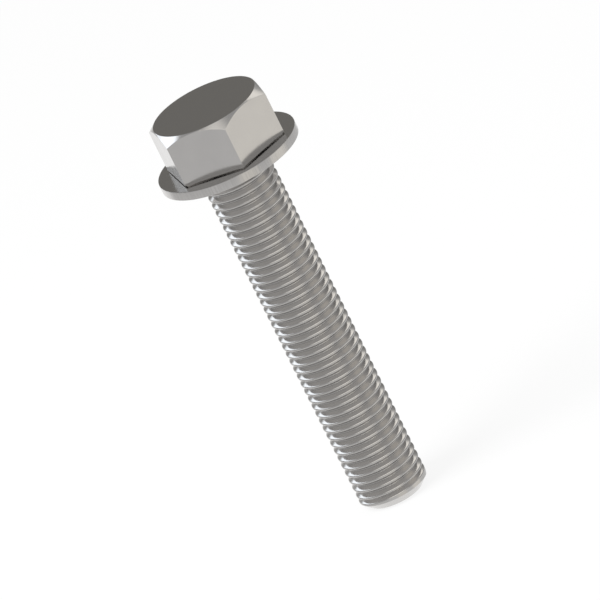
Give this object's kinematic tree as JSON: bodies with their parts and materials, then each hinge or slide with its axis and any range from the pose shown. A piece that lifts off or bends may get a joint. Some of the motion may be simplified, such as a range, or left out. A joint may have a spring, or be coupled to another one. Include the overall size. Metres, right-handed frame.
{
  "type": "flange bolt",
  "caption": "Hexagon head bolt with a flat round flange, a shank threaded up to the flange and a chamfered tip.",
  "frame": {"origin": "centre of the flange's bearing face, on the bolt's axis", "axes": "+Z along the bolt's axis, from the tip up to the head; two corners of the hexagon lie on the X axis"},
  "size_m": [0.0596, 0.0596, 0.1827],
  "materials": {
    "stainless_steel": "bright smooth stainless steel on the head and flange, with fine turning lines on the rim and a rolled thread"
  },
  "bodies": {
    "root": {"flange_bolt": "stainless_steel"}
  },
  "joints": []
}
